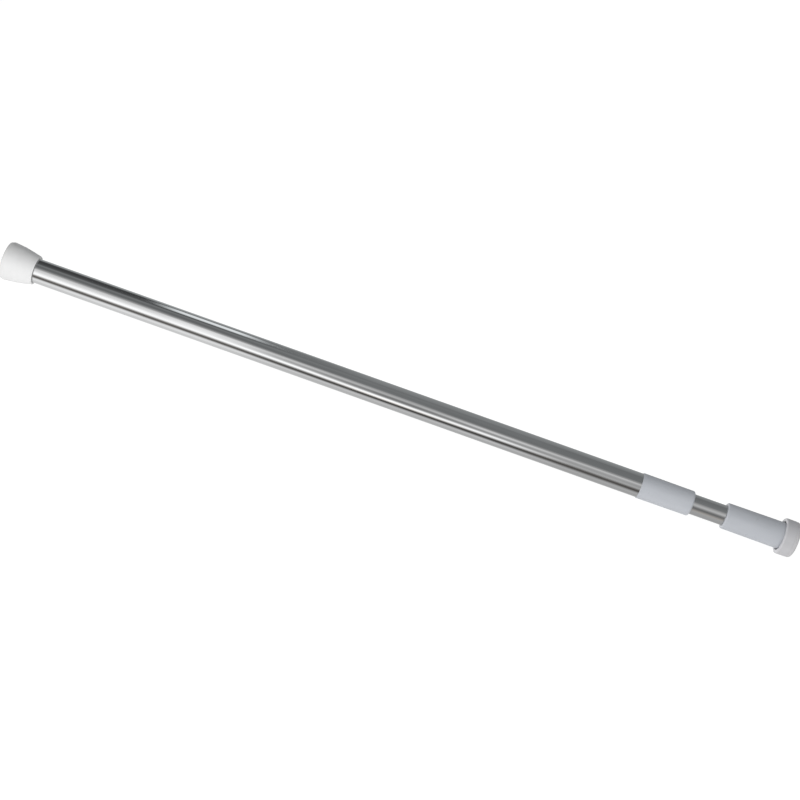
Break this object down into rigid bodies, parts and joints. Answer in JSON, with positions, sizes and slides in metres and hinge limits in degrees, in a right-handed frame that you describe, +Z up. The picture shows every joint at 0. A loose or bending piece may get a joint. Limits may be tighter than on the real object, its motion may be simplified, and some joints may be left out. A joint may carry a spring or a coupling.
{
  "type": "bed cargo bar",
  "caption": "Telescopic tension bar: chromed round tubes that slide and twist-lock, a bell-shaped rubber end cap, a plastic grip sleeve and a screw-out foot with a rubber pad.",
  "frame": {"origin": "centre of the fixed end cap's wall face, on the bar's axis", "axes": "+X along the bar towards the screw foot, +Z up"},
  "size_m": [1.0036, 0.0472, 0.0472],
  "materials": {
    "chrome_tube": "bright chrome plate on drawn steel tube",
    "white_rubber": "soft white rubber, satin",
    "pad_rubber": "firm grey-white rubber, matt",
    "white_plastic": "moulded plastic, satin gloss",
    "nylon": "natural moulded nylon",
    "zinc_steel": "zinc-plated steel",
    "brass": "turned brass"
  },
  "bodies": {
    "outer_bar": {"end_cap": "white_rubber", "tube_plug": "nylon", "outer_tube": "chrome_tube", "collar": "white_plastic"},
    "expander": {"expander": "nylon"},
    "cone": {"cone_nut": "nylon"},
    "inner_bar": {"inner_tube": "chrome_tube", "inner_plug": "nylon", "lock_screw": "zinc_steel", "lock_nut": "zinc_steel", "lock_washer": "zinc_steel", "spindle_guide": "nylon", "thrust_washer": "zinc_steel", "circlip": "zinc_steel"},
    "grip": {"grip_sleeve": "white_plastic", "grip_nut": "brass"},
    "foot": {"spindle": "zinc_steel", "spindle_stop": "zinc_steel", "stop_screw": "zinc_steel", "foot_disc": "white_plastic", "foot_screw": "zinc_steel", "foot_pad": "pad_rubber"}
  },
  "joints": [
    {"name": "telescope", "type": "slide", "parent": "outer_bar", "child": "expander", "axis": [1, 0, 0], "range_m": [-0.0411, 0.668]},
    {"name": "twist_lock", "type": "hinge", "parent": "expander", "child": "inner_bar", "pos_m": [0.124, 0, 0], "axis": [-1, 0, 0], "range_deg": [0, 720]},
    {"name": "cone_feed", "type": "slide", "parent": "expander", "child": "cone", "axis": [1, 0, 0], "range_m": [0, 0.0025]},
    {"name": "grip_turn", "type": "hinge", "parent": "inner_bar", "child": "grip", "pos_m": [0.96, 0, 0], "axis": [-1, 0, 0], "range_deg": [0, 2880]},
    {"name": "foot_feed", "type": "slide", "parent": "inner_bar", "child": "foot", "axis": [1, 0, 0], "range_m": [0, 0.024]}
  ],
  "couplings": [
    {"joint": "cone_feed", "follows": "twist_lock", "m_per_rad": 0.00019894},
    {"joint": "foot_feed", "follows": "grip_turn", "m_per_rad": 0.00047746}
  ]
}
